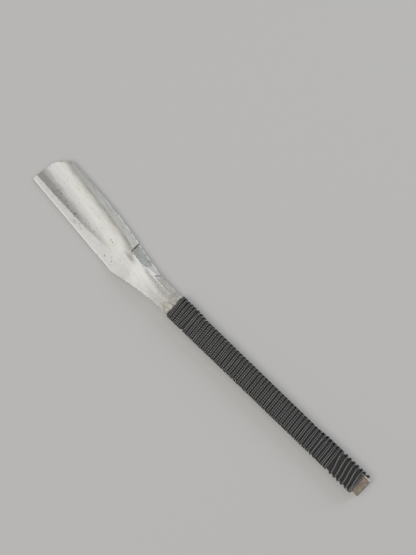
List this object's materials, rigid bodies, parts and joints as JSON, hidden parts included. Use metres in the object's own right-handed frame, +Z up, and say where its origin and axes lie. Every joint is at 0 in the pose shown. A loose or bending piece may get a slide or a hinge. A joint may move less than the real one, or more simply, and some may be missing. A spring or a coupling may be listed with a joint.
{
  "type": "skiving knife",
  "caption": "Slim forged skiving knife with a hollow-ground, square-ended laminated blade and a cord-wrapped flat tang, for thinning leather.",
  "frame": {"origin": "middle of the bounding box in plan, at the height of the surface that the knife lies on, which touches the underside of the cord wrap", "axes": "+X from the butt towards the blade's end, +Y towards the cutting edge, +Z up through the hollow-ground face"},
  "size_m": [0.19, 0.022, 0.0054],
  "materials": {
    "soft_iron": "hand-polished soft iron, satin, with forging pits and brown scale near the wrap and at the butt",
    "hard_steel": "finely stoned hard steel with a polished edge bevel",
    "black_cord": "tight black braided cord, slightly glossy synthetic fibre"
  },
  "bodies": {
    "root": {"forged_body": "soft_iron", "edge_steel": "hard_steel", "wrap_cord": "black_cord"}
  },
  "joints": []
}
